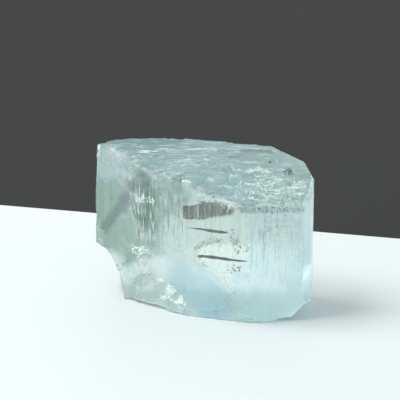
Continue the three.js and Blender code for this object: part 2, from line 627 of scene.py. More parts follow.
@dataclass(frozen=True)
class Patch:
    """A soft-edged blob in which a mask is raised, in millimetres.

    It is an ellipsoid, drawn out both ways from its centre by the along vector.
    """

    mask: str
    centre: Place
    radii: Place
    strength: float = 1.0
    softness: float = 0.6
    along: Place = (0.0, 0.0, 0.0)

    def share(self, points: np.ndarray) -> np.ndarray:
        """Works out how far inside the patch points are.

        Args:
            points: the points, in millimetres.

        Returns:
            A number for each, from 0 outside to the patch's strength.
        """
        away = points - np.array(self.centre)
        along = np.array(self.along)
        if along.any():
            away = away - np.clip(away @ along / (along @ along), -1, 1)[:, None] * along
        reach = np.linalg.norm(away / np.array(self.radii), axis=1)
        return self.strength * eased(reach, 1.0 + self.softness / 2, 1.0 - self.softness / 2)


@dataclass(frozen=True)
class Carving:
    """Relief that is sunk into the crystal where a mask is raised and a noise runs from low to high.

    Its depth is in millimetres. With steps, it goes down in so many ledges.
    """

    name: str
    mask: str
    noise: Noise
    low: float
    high: float
    depth: float
    steps: int = 0

    def sunk(self, recipe: Recipe, place: Socket) -> Wire:
        """Works out the relief.

        Args:
            recipe: the tree that it is part of.
            place: the position socket.

        Returns:
            How deep each point is sunk, in metres.
        """
        noise = recipe.noise(place, self.noise)
        if self.steps:
            noise = (noise * float(self.steps)).floor() * (1 / self.steps)
        depth = noise.step(self.low, self.high) * recipe.size(self.name, self.depth * MM)
        return recipe.mask(self.mask) * depth


class Skin(Enum):
    """How a side of the crystal is finished: how deep its grooves are and how frosted it is, from 0 to 1."""

    WINDOW = (0.02, 0.02)
    RIBBED = (1.0, 0.10)
    LINED = (0.75, 0.16)
    PLAIN = (0.65, 0.14)
    SILK = (0.08, 0.16)
    HAZY = (0.45, 1.0)
    DULL = (0.5, 0.40)


@dataclass
class Crystal:
    """The crystal's fine surface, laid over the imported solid. Its sizes are in millimetres."""

    node: bpy.types.Object
    finish: TopazFinish = field(default_factory=TopazFinish)
    # The grid's spacing and tolerances, the angle of a sharp edge, and how often soft places are smoothed.
    pitches: Place = (0.2, 0.35, 0.35)
    merged: float = 0.002
    snapped: float = 0.0005
    flat: float = math.radians(0.3)
    sharp: float = math.radians(22)
    rounding: int = 45
    # What tells the sides, the top and its slopes, the upper part and the foot apart.
    side_reach: float = 0.45
    side_lean: float = 0.8
    top_lean: float = 0.6
    top_floor: float = 27.9
    slope_reach: float = 0.4
    right_slope: Plane = Plane((12.8, -10.5, 23.6), (0.03, -0.46, 0.887))
    middle_slope: Plane = Plane((5.5, -9.9, 24.0), (0.221, -0.442, 0.869))
    upper_part: float = 24.0
    crown_floor: float = 26.5
    foot_ceiling: float = 0.4
    foot_edge: float = 0.5
    front_lean: float = 0.2
    # Where the front's grooves fade, where the ledges lie, how strong the masks are, and from what frost and
    # what grooves on a side counts as hazy or grooved.
    faded_grooves: float = 0.1
    fade: Span = (8.0, 13.5)
    ledge_rows: Span = (4.0, 6.0)
    ledge_end: Span = (13.0, 7.0)
    top_frost: float = 0.36
    broken_frost: float = 0.34
    foot_frost: float = 0.65
    soft_frost: float = 0.25
    hazy: float = 0.3
    soft_calm: float = 0.85
    painted_sky_reflection_calm: float = 0.7
    grooved: float = 0.2
    # How far wear reaches from an edge, and how much of it the top's back rim is spared.
    wear_rounds: int = 3
    wear_fall: float = 0.7
    rim_rows: Span = (0.0, 3.0)
    rim_height: Span = (26.0, 27.5)
    rim_calm: float = 0.6
    # Each side's first corner and finish, the relief, and the patches.
    plan: tuple[tuple[float, float, Skin], ...] = (
        (8.4, -10.8, Skin.LINED),
        (18.6, -9.8, Skin.SILK),
        (20.5, -5.5, Skin.SILK),
        (21.0, 0.3, Skin.HAZY),
        (19.6, 3.5, Skin.HAZY),
        (11.9, 6.3, Skin.HAZY),
        (3.6, 8.7, Skin.HAZY),
        (-4.6, 10.8, Skin.DULL),
        (-13.6, 10.8, Skin.DULL),
        (-20.6, 9.1, Skin.SILK),
        (-21.0, 5.1, Skin.SILK),
        (-13.7, -0.5, Skin.RIBBED),
        (-8.8, -3.9, Skin.PLAIN),
        (-4.1, -6.8, Skin.WINDOW),
    )
    carvings: tuple[Carving, ...] = (
        Carving("Groove depth", "grooves", Noise((900.0, 900.0, 12.0), 3.0, 0.6), 0.3, 0.7, 0.13),
        Carving("Flute depth", "grooves", Noise((350.0, 350.0, 9.0), 1.0), 0.3, 0.7, 0.12),
        Carving("Fleck depth", "etching", Noise((700.0, 1400.0, 1400.0), 3.0, 0.6), 0.35, 0.75, 0.28),
        Carving("Ledge depth", "ledges", Noise((70.0, 420.0, 300.0), 3.0, 0.55), 0.2, 0.8, 0.3, 9),
        Carving("Hackle depth", "hackle", Noise((330.0, 330.0, 330.0), 4.0, 0.55), 0.3, 0.7, 0.10),
        Carving("Wear depth", "wear", Noise((520.0, 520.0, 520.0), 3.0, 0.7), 0.42, 0.8, 0.42),
    )
    patches: tuple[Patch, ...] = (
        Patch("blue", (-2.0, -8.0, 5.0), (4.5, 6.0, 3.8), 1.0, 0.8, (3.5, 0.0, -1.8)),
        Patch("aqua", (14.0, -10.0, 6.0), (9.0, 7.0, 10.0), 1.0),
        Patch("aqua", (20.0, -6.0, 16.0), (2.5, 6.0, 11.0), 1.0),
        Patch("blue", (1.0, 8.0, 30.0), (4.0, 4.0, 1.5), 0.7),
        Patch("blue", (5.5, -6.0, 25.5), (2.6, 3.0, 2.6), 0.7),
        Patch("green", (-18.5, 2.5, 18.5), (5.5, 5.5, 9.0), 1.0, 1.1),
        Patch("green", (-15.5, 1.0, 12.0), (5.5, 5.0, 5.0), 0.8, 0.8),
        Patch("green", (12.0, 3.0, 29.0), (9.0, 5.0, 3.0), 0.4),
        Patch("green", (-11.0, -2.5, 18.0), (4.5, 4.0, 8.5), 0.75, 0.8),
        Patch("green", (-7.0, -5.0, 24.0), (6.0, 4.0, 4.5), 0.7, 0.8),
        # Painted sheen: this near-white patch lightens the lower left front.
        Patch("pale", (-11.5, -3.5, 5.0), (4.5, 6.0, 4.5), 1.0, 0.8),
        # Painted reflection: the violet tint on the top-left bevel stands in for the sky's sheen there.
        Patch("painted_sky_reflection", (-19.0, 4.5, 27.6), (4.2, 4.4, 3.8), 1.0, 1.2),
        # Painted shade: these two patches darken the crystal's left end.
        Patch("painted_shade", (-14.0, 1.0, 20.0), (11.5, 9.0, 12.0), 0.6, 0.8),
        Patch("painted_shade", (-19.5, 3.5, 18.0), (6.0, 6.0, 9.0), 1.0, 0.8),
        # Painted shade: the next six patches lay a dark band down the left face's diagonal edge and darken
        # the ribs and the left end. The four after them darken the top's front edge, and the last tones down
        # the top-left bevel.
        Patch("shade_and_smoke", (-14.0, -0.2, 23.2), (1.2, 1.8, 3.0), 0.75, 1.5),
        Patch("shade_and_smoke", (-12.7, -1.0, 25.2), (1.3, 1.8, 1.6), 0.6, 1.5, (0.6, -0.4, 1.6)),
        Patch("shade_and_smoke", (-15.4, 0.9, 20.4), (1.3, 2.0, 1.8), 0.9, 1.5, (0.7, -0.5, 1.6)),
        Patch("shade_and_smoke", (-17.8, 2.6, 16.2), (1.1, 2.0, 1.5), 0.85, 1.5, (1.5, -1.1, 2.4)),
        Patch("shade_and_smoke", (-11.6, -2.2, 20.0), (2.6, 2.5, 3.0), 0.7, 1.4, (0.0, 0.0, 3.0)),
        Patch("shade_and_smoke", (-17.0, 2.0, 13.0), (3.5, 4.0, 3.0), 0.3, 1.0),
        Patch("shade_and_smoke", (-5.1, -6.0, 27.8), (1.7, 1.4, 1.0), 0.85, 0.9),
        Patch("shade_and_smoke", (-9.5, -3.4, 28.0), (2.6, 1.2, 0.7), 0.5, 1.2),
        Patch("shade_and_smoke", (0.2, -7.3, 25.9), (1.2, 1.4, 0.9), 0.7, 1.2, (2.4, -0.4, -0.9)),
        Patch("shade_and_smoke", (12.5, -10.4, 22.9), (0.8, 1.0, 0.9), 0.6, 1.0, (6.5, 0.5, -0.2)),
        Patch("shade_and_smoke", (-19.0, 4.0, 27.0), (4.0, 4.0, 3.5), 0.25, 1.0),
        Patch("polish", (2.4, 8.5, 18.0), (4.4, 4.0, 1.6), 1.0, 1.0, (2.0, 0.0, 0.7)),
        Patch("polish", (7.0, 7.5, 8.0), (8.0, 4.5, 4.6), 1.0, 1.1),
        Patch("polish", (14.5, 4.5, 8.0), (6.0, 5.0, 5.5), 0.62, 1.2),
        Patch("polish", (-12.5, 9.0, 18.0), (1.6, 5.0, 1.6), 0.8, 1.6, (3.0, 0.0, 4.5)),
        Patch("polish", (-9.0, 9.0, 19.0), (2.2, 4.0, 4.5), 0.7, 1.6),
        Patch("soft", (-9.0, 0.0, 28.6), (11.5, 7.6, 2.6), 1.0, 0.5),
        Patch("soft", (-19.5, 4.0, 25.6), (3.2, 3.2, 3.2), 1.0, 0.5),
        Patch("soft", (19.8, -7.0, 12.0), (2.4, 4.0, 13.5), 1.0, 0.5),
        Patch("soft", (19.5, -6.0, 2.0), (6.0, 8.0, 4.5), 1.0, 0.5),
        Patch("soft", (1.5, -8.0, 26.0), (5.0, 3.0, 2.5), 1.0, 0.5),
        Patch("soft", (-11.5, -2.0, 4.5), (4.5, 5.0, 7.0), 0.6, 0.5),
        Patch("frost", (14.0, -10.0, 3.5), (9.0, 2.5, 4.5), 0.4, 1.2),
        Patch("soft", (9.0, -9.5, 24.0), (11.0, 2.2, 1.6), 0.5, 0.8),
        Patch("etching", (14.0, -8.5, 24.5), (8.5, 4.0, 3.5), 1.0),
        Patch("etching", (-2.0, -2.5, 28.5), (7.5, 4.5, 2.5), 0.7),
        Patch("etching", (16.5, -0.5, 28.8), (4.5, 6.0, 1.8), 0.7, 0.8),
        Patch("etching", (0.5, -7.2, 25.6), (5.0, 2.5, 2.2), 1.0, 0.8),
        Patch("etching", (14.0, -10.3, 18.5), (5.0, 2.0, 4.0), 0.9, 1.0),
        Patch("etching", (-12.0, -2.2, 10.9), (3.0, 2.5, 1.8), 0.8),
        Patch("etching", (-6.2, -5.5, 3.6), (2.6, 4.0, 2.2), 0.8),
    )

    def grid(self) -> Mesh:
        """Cuts a copy of the solid into a fine even grid, which keeps every edge where it is.

        Returns:
            The new mesh, of triangles.
        """
        low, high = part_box(NODE)
        cells = bmesh.new()
        cells.from_mesh(self.node.data)
        bmesh.ops.remove_doubles(cells, verts=cells.verts, dist=self.merged * MM)
        bmesh.ops.dissolve_limit(cells, angle_limit=self.flat, verts=cells.verts, edges=cells.edges)
        for axis, pitch in enumerate(self.pitches):
            steps = math.ceil((high[axis] - low[axis]) / (pitch * MM))
            places = [low[axis] + (high[axis] - low[axis]) * k / steps for k in range(1, steps)]
            self.split(cells, cells.faces[:], axis, places)
        bmesh.ops.triangulate(cells, faces=cells.faces)
        mesh = bpy.data.meshes.new("grid")
        cells.to_mesh(mesh)
        cells.free()
        return mesh

    def split(
        self, cells: bmesh.types.BMesh, faces: list[bmesh.types.BMFace], axis: int, places: Sequence[float]
    ) -> None:
        """Cuts faces by parallel planes, the middle one first and then each half by its own planes.

        Args:
            cells: the mesh.
            faces: the faces that the planes may cross.
            axis: 0, 1 or 2, the axis that the planes stand square to.
            places: where the planes stand, in order.
        """
        if not places or not faces:
            return
        middle = len(places) // 2
        place = places[middle]
        point, normal = Vector((0, 0, 0)), Vector((0, 0, 0))
        point[axis], normal[axis] = place, 1.0
        near = list({e for f in faces for e in f.edges} | {v for f in faces for v in f.verts}) + faces
        cut = bmesh.ops.bisect_plane(
            cells, geom=near, dist=self.snapped * MM, plane_co=point, plane_no=normal
        )
        sides: tuple[list, list] = ([], [])
        for face in cut["geom"]:
            if isinstance(face, bmesh.types.BMFace):
                sides[face.calc_center_median()[axis] > place].append(face)
        self.split(cells, sides[0], axis, places[:middle])
        self.split(cells, sides[1], axis, places[middle + 1 :])

    def walls(self) -> list[Plane]:
        """Works out the upright sides.

        Returns:
            A plane for each, in the order of the plan.
        """
        made = []
        for (x, y, _), (next_x, next_y, _) in zip(self.plan, self.plan[1:] + self.plan[:1]):
            made.append(Plane((x, y, 0.0), (next_y - y, x - next_x, 0.0)))
        return made

    def masks(self, points: np.ndarray, normals: np.ndarray) -> dict[str, np.ndarray]:
        """Works out what finish each point of the surface has.

        Args:
            points: the points, in millimetres.
            normals: the surface's direction at each.

        Returns:
            Masks from 0 to 1, by name.
        """
        x, y, z = points.T
        depths = np.array([wall.depth(points) for wall in self.walls()])
        nearest = depths.argmin(axis=0)
        skins = np.array([skin.value for _, _, skin in self.plan])[nearest]
        window = np.array([skin is Skin.WINDOW for _, _, skin in self.plan])[nearest]
        on_side = (depths.min(axis=0) < self.side_reach) & (abs(normals[:, 2]) < self.side_lean)
        level = normals[:, 2] > self.top_lean
        on_top = (z > self.top_floor) & level
        to_slope = np.minimum(*(abs(slope.depth(points)) for slope in (self.right_slope, self.middle_slope)))
        on_slope = (to_slope < self.slope_reach) & level & ~on_top
        broken = ~(on_side | on_top | on_slope)
        faded = self.faded_grooves + (1 - self.faded_grooves) * eased(z, *self.fade)
        fade = np.where(normals[:, 1] < self.front_lean, faded, 1.0)
        made = {
            "grooves": np.where(on_side, skins[:, 0] * fade, 0.0),
            "frost": np.where(on_side, skins[:, 1], np.where(broken, self.broken_frost, self.top_frost)),
            "ledges": on_top * eased(y, *self.ledge_rows) * eased(x, *self.ledge_end),
            "hackle": np.where(broken, 1.0, 0.0),
            "top": np.where(on_top | on_slope | (broken & (z > self.crown_floor)), 1.0, 0.0),
            "window": np.where(on_side & window, 1.0, 0.0),
            "clean": np.where(on_side & (window | (skins[:, 1] > self.hazy)), 1.0, 0.0),
        }
        for patch in self.patches:
            share = patch.share(points)
            made[patch.mask] = np.maximum(made.get(patch.mask, 0.0), share)
        upper = z > self.upper_part
        foot = (z < self.foot_ceiling) & (normals[:, 2] < -self.top_lean)
        made["frost"] = np.where(foot, self.foot_frost, made["frost"])
        made["frost"] = made["frost"] + self.soft_frost * made["soft"] * upper
        made["hackle"] = made["hackle"] * (1 - self.soft_calm * made["soft"] * (z > self.foot_edge))
        # The crown's tint is spared where the top-left bevel's painted reflection lies.
        made["top"] = made["top"] * (1 - self.painted_sky_reflection_calm * made["painted_sky_reflection"])
        etched = on_slope | on_top | broken | (made["grooves"] > self.grooved) | upper
        made["etching"] = made["etching"] * etched
        return made

    def worn(self, mesh: Mesh) -> np.ndarray:
        """Finds the points near a sharp edge of the crystal.

        Args:
            mesh: the fine mesh.

        Returns:
            A mask, 1 on an edge and less beside it.
        """
        cells = bmesh.new()
        cells.from_mesh(mesh)
        mask = np.zeros(len(cells.verts))
        for edge in cells.edges:
            if len(edge.link_faces) == 2 and edge.calc_face_angle() > self.sharp:
                mask[[v.index for v in edge.verts]] = 1.0
        cells.free()
        pairs = np.empty(2 * len(mesh.edges), dtype=np.int32)
        mesh.edges.foreach_get("vertices", pairs)
        pairs = pairs.reshape(-1, 2)
        for _ in range(self.wear_rounds):
            beside = mask.copy()
            np.maximum.at(beside, pairs[:, 0], mask[pairs[:, 1]] * self.wear_fall)
            np.maximum.at(beside, pairs[:, 1], mask[pairs[:, 0]] * self.wear_fall)
            mask = beside
        return mask

    def marked(self, mesh: Mesh) -> None:
        """Keeps the masks on the fine mesh.

        Args:
            mesh: the fine mesh.
        """
        points = points_of(mesh) / MM
        normals = np.empty(points.size)
        mesh.vertex_normals.foreach_get("vector", normals)
        masks = self.masks(points, normals.reshape(-1, 3))
        rim = eased(points[:, 1], *self.rim_rows) * eased(points[:, 2], *self.rim_height)
        masks["wear"] = self.worn(mesh) * (1 - masks["soft"]) * (1 - self.rim_calm * rim)
        for name, values in masks.items():
            add_mask(mesh, name, values)

    def carved(self, mesh: Mesh, material: Material) -> Mesh:
        """Sinks grooves, flecks, thin ledges, hackle and wear into the fine mesh.

        Args:
            mesh: the fine mesh with its masks.
            material: the crystal's material.

        Returns:
            The carved mesh.
        """
        recipe = Recipe("carve_crystal")
        place = recipe.place()
        first, *others = [carving.sunk(recipe, place) for carving in self.carvings]
        depth = sum(others, first)
        normal = recipe.node("GeometryNodeInputNormal").outputs[0]
        softened = recipe.softened(recipe.mesh(), recipe.mask("soft"), self.rounding)
        sunk = recipe.moved(softened, "Offset", recipe.scaled(normal, depth * -1.0))
        return recipe.finished(sunk, mesh, material)

    def build(self) -> Piece:
        """Builds the crystal.

        Returns:
            The crystal's object.
        """
        mesh = self.grid()
        self.marked(mesh)
        material = self.finish.material()
        mesh = self.carved(mesh, material)
        hold_in_box(mesh)
        mesh.shade_smooth()
        mesh.set_sharp_from_angle(angle=self.sharp)
        made = show("crystal", mesh, material)
        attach(made, BODY)
        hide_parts(NODE)
        return made


@dataclass
class Scatter:
    """Small flakes at a surface, in the patches or all over it. Its sizes are in millimetres.

    A flake is a block that tapers upwards. It lies between deep and shallow under the surface, where a
    shallow below 0 lets it stand out. Its length runs along the grain but for half the turn at most either
    way, and it is tilted by the tilt at most.
    """

    name: str
    finish: PlainFinish
    patches: tuple[Patch, ...]
    per_square: float
    flake: Place
    seed: int
    spread: float = 0.6
    shallow: float = -0.02
    deep: float = 0.05
    turn: float = math.pi
    tilt: float = 0.3
    roll: float = 0.25
    clumps: Noise = Noise((700.0, 1100.0, 1100.0), 2.0)
    clumping: float = 0.08
    grain: Place = (1.0, 0.0, 0.0)
    sides: int = 4
    taper: float = 0.45
    tall: float = 2.0

    def carrier(self, surface: Mesh) -> Mesh:
        """Copies the surface and keeps on it where the flakes may lie.

        Args:
            surface: the surface that they lie on.

        Returns:
            The copy, with the patches as its share mask.
        """
        made = surface.copy()
        points = points_of(made) / MM
        everywhere = [] if self.patches else [np.ones(len(points))]
        share = np.max([patch.share(points) for patch in self.patches] + everywhere, axis=0)
        add_mask(made, "share", share)
        return made

    def spots(self, recipe: Recipe) -> Node:
        """Draws the places of the flakes.

        Args:
            recipe: the flakes' tree.

        Returns:
            The node that holds them.
        """
        edge = (0.5 - self.clumping, 0.5 + self.clumping)
        clumps = recipe.noise(recipe.place(), self.clumps).step(*edge)
        most = recipe.size("Flakes a square metre", self.per_square / MM**2)
        return recipe.node(
            "GeometryNodeDistributePointsOnFaces",
            {"distribute_method": "RANDOM"},
            {"Mesh": recipe.mesh(), "Density": recipe.mask("share") * clumps * most, "Seed": self.seed},
        )

    def turned(self, recipe: Recipe, spots: Node) -> Socket:
        """Works out how each flake lies: along the grain, then turned and tilted a little.

        Args:
            recipe: the flakes' tree.
            spots: the node that holds their places.

        Returns:
            The rotation's socket.
        """
        most = (self.tilt, self.tilt * self.roll, self.turn / 2)
        tilt = recipe.node(
            "FunctionNodeRandomValue",
            {"data_type": "FLOAT_VECTOR"},
            {0: tuple(-angle for angle in most), 1: most, "Seed": self.seed + 2},
        )
        laid = recipe.node(
            "FunctionNodeAlignRotationToVector",
            {"axis": "X", "pivot_axis": "Z"},
            {"Rotation": spots.outputs["Rotation"], "Vector": self.grain},
        )
        inputs = {0: laid.outputs[0], 1: tilt.outputs[0]}
        return recipe.node("FunctionNodeRotateRotation", {"rotation_space": "LOCAL"}, inputs).outputs[0]

    def build(self, surface: Mesh) -> Piece:
        """Scatters the flakes.

        Args:
            surface: the surface that they lie on.

        Returns:
            The flakes as one object.
        """
        recipe = Recipe("scatter_" + self.name)
        spots = self.spots(recipe)
        sunk = recipe.random(-self.deep * MM, -self.shallow * MM, self.seed + 1)
        placed = recipe.moved(spots.outputs[0], "Offset", recipe.scaled(spots.outputs["Normal"], sunk))
        block = {"Vertices": self.sides, "Radius Top": self.taper, "Depth": self.tall}
        grown = recipe.random(1.0 - self.spread, 1.0 + self.spread, self.seed + 3)
        flakes = recipe.node(
            "GeometryNodeInstanceOnPoints",
            None,
            {
                "Points": placed,
                "Instance": recipe.node("GeometryNodeMeshCone", None, block).outputs[0],
                "Rotation": self.turned(recipe, spots),
                "Scale": recipe.scaled(tuple(side * MM for side in self.flake), grown),
            },
        )
        material = self.finish.material()
        mesh = recipe.finished(flakes.outputs[0], self.carrier(surface), material)
        hold_in_box(mesh)
        return set_in_crystal(self.name, mesh, material)


@dataclass(frozen=True)
class Ribbon:
    """An upright strip through the crystal, along which specks lie. Its sizes are in millimetres."""

    path: tuple[Place, ...]
    half_width: float
    pieces: int = 8

    def mesh(self) -> Mesh:
        """Builds the strip.

        Returns:
            The strip as a plain mesh.
        """
        points = np.array(self.path)
        places = np.linspace(0, len(points) - 1, self.pieces * (len(points) - 1) + 1)
        middle = np.stack([np.interp(places, range(len(points)), along) for along in points.T], axis=1)
        run = np.gradient(middle, axis=0)
        across = np.cross(run, (0.0, 1.0, 0.0))
        across /= np.linalg.norm(across, axis=1)[:, None]
        rows = np.concatenate([middle - across * self.half_width, middle + across * self.half_width]) * MM
        count = len(middle)
        faces = [(k, k + 1, count + k + 1, count + k) for k in range(count - 1)]
        made = bpy.data.meshes.new("ribbon")
        made.from_pydata(rows.tolist(), [], faces)
        return made


@dataclass
class Fissure:
    """A thin dark blade of a crack inside the crystal, in millimetres.

    It is thickest at a share of its length, wavers to and fro and swells and shrinks a little on its way.
    """

    name: str
    start: Place
    end: Place
    finish: PlainFinish
    thickest: float
    height: float = 0.5
    depth: float = 1.2
    lean: Place = (0.0, 1.0, 0.25)
    bluntness: float = 0.45
    waver: float = 0.03
    waver_pace: float = 9.0
    swell: float = 0.12
    swell_pace: float = 23.0
    swell_start: float = 1.0
    stations: int = 40
    sides: int = 8

    def rings(self) -> list[list[Vector]]:
        """Works out the blade's outline along its length.

        Returns:
            A ring of points for each station between its tips, in millimetres.
        """
        start, end = Vector(self.start), Vector(self.end)
        run = (end - start).normalized()
        back = Vector(self.lean).cross(run).cross(run).normalized() * -1.0
        up = run.cross(back).normalized()
        power = math.log(0.5) / math.log(self.thickest)
        made = []
        for k in range(1, self.stations):
            t = k / self.stations
            swollen = 1 - self.swell + self.swell * math.sin(self.swell_pace * t + self.swell_start)
            girth = math.sin(math.pi * t**power) ** self.bluntness * swollen
            middle = start.lerp(end, t) + up * self.waver * math.sin(self.waver_pace * t + len(self.name))
            ring = []
            for side in range(self.sides):
                angle = 2 * math.pi * side / self.sides
                across = back * (self.depth * math.cos(angle)) + up * (self.height * math.sin(angle))
                ring.append(middle + across * girth * 0.5)
            made.append(ring)
        return made

    def build(self) -> Piece:
        """Builds the blade, pointed at both ends.

        Returns:
            The blade.
        """
        cells = bmesh.new()
        tips = [cells.verts.new(Vector(p) * MM) for p in (self.start, self.end)]
        loops = [[cells.verts.new(p * MM) for p in ring] for ring in self.rings()]
        for side in range(self.sides):
            after = (side + 1) % self.sides
            cells.faces.new((tips[0], loops[0][after], loops[0][side]))
            cells.faces.new((tips[1], loops[-1][side], loops[-1][after]))
            for near, far in zip(loops, loops[1:]):
                cells.faces.new((near[side], near[after], far[after], far[side]))
        bmesh.ops.recalc_face_normals(cells, faces=cells.faces)
        mesh = bpy.data.meshes.new(self.name)
        cells.to_mesh(mesh)
        cells.free()
        mesh.shade_smooth()
        return set_in_crystal(self.name, mesh, self.finish.material())


@dataclass
class Bead:
    """A small round speck. Its sizes are in millimetres."""

    name: str
    centre: Place
    radii: Place
    finish: PlainFinish
    subdivisions: int = 2

    def build(self) -> Piece:
        """Builds the speck.

        Returns:
            The speck.
        """
        cells = bmesh.new()
        bmesh.ops.create_icosphere(cells, subdivisions=self.subdivisions, radius=1.0)
        for vert in cells.verts:
            vert.co = Vector(c * r + m for c, r, m in zip(vert.co, self.radii, self.centre)) * MM
        mesh = bpy.data.meshes.new(self.name)
        cells.to_mesh(mesh)
        cells.free()
        mesh.shade_smooth()
        return set_in_crystal(self.name, mesh, self.finish.material())


# The finishes of the cracks, veils, flakes and specks, and what the two kinds of rib lines share. The white
# fleck finish serves both real white flecks and painted highlights.
CRACK = PlainFinish("crack", (0.045, 0.085, 0.07), 0.4, (0.12, 0.18, 0.16), 1500.0)
VEIL = PlainFinish("veil_fleck", (0.16, 0.24, 0.21), 0.5, (0.75, 0.85, 0.80), 3500.0)
WHITE_FLECK_AND_GLINT = PlainFinish("white_fleck_and_glint", (0.92, 0.96, 0.92), 0.35, (0.62, 0.75, 0.70), 2500.0)
PALE_FLECK = PlainFinish("pale_fleck", (0.88, 0.96, 0.87), 0.35, (0.56, 0.76, 0.66), 2000.0)
RIB_SHADE = PlainFinish("rib_shade", (0.20, 0.28, 0.25), 0.5, (0.32, 0.40, 0.37), 1500.0)
DARK_SPECK = PlainFinish("dark_speck", (0.012, 0.015, 0.015), 0.5, (0.03, 0.04, 0.04), 2500.0)
GREY_SPOT = PlainFinish("grey_spot", (0.16, 0.24, 0.25), 0.5, (0.30, 0.40, 0.40), 1800.0)
RIBS = (
    Patch("share", (-11.6, -1.9, 18.8), (2.9, 2.5, 5.4), 1.0, 0.3),
    Patch("share", (-6.6, -5.2, 18.8), (2.0, 2.0, 5.4), 0.4, 0.3),
    Patch("share", (-4.5, -6.5, 19.5), (0.5, 1.0, 5.6), 1.0, 0.3),
)
RIB_LIGHTS = Scatter(
    "rib_lights",
    WHITE_FLECK_AND_GLINT,
    (*RIBS, Patch("share", (13.5, -10.3, 16.5), (5.0, 1.5, 4.2), 0.8, 0.5)),
    per_square=5.0,
    flake=(1.35, 0.05, 0.03),
    seed=51,
    shallow=-0.03,
    turn=0.02,
    tilt=0.05,
    grain=(0.0, 0.0, 1.0),
)
RIB_SHADES = replace(
    RIB_LIGHTS,
    name="rib_shades",
    finish=RIB_SHADE,
    patches=RIBS,
    per_square=3.0,
    flake=(1.35, 0.06, 0.03),
    seed=57,
)


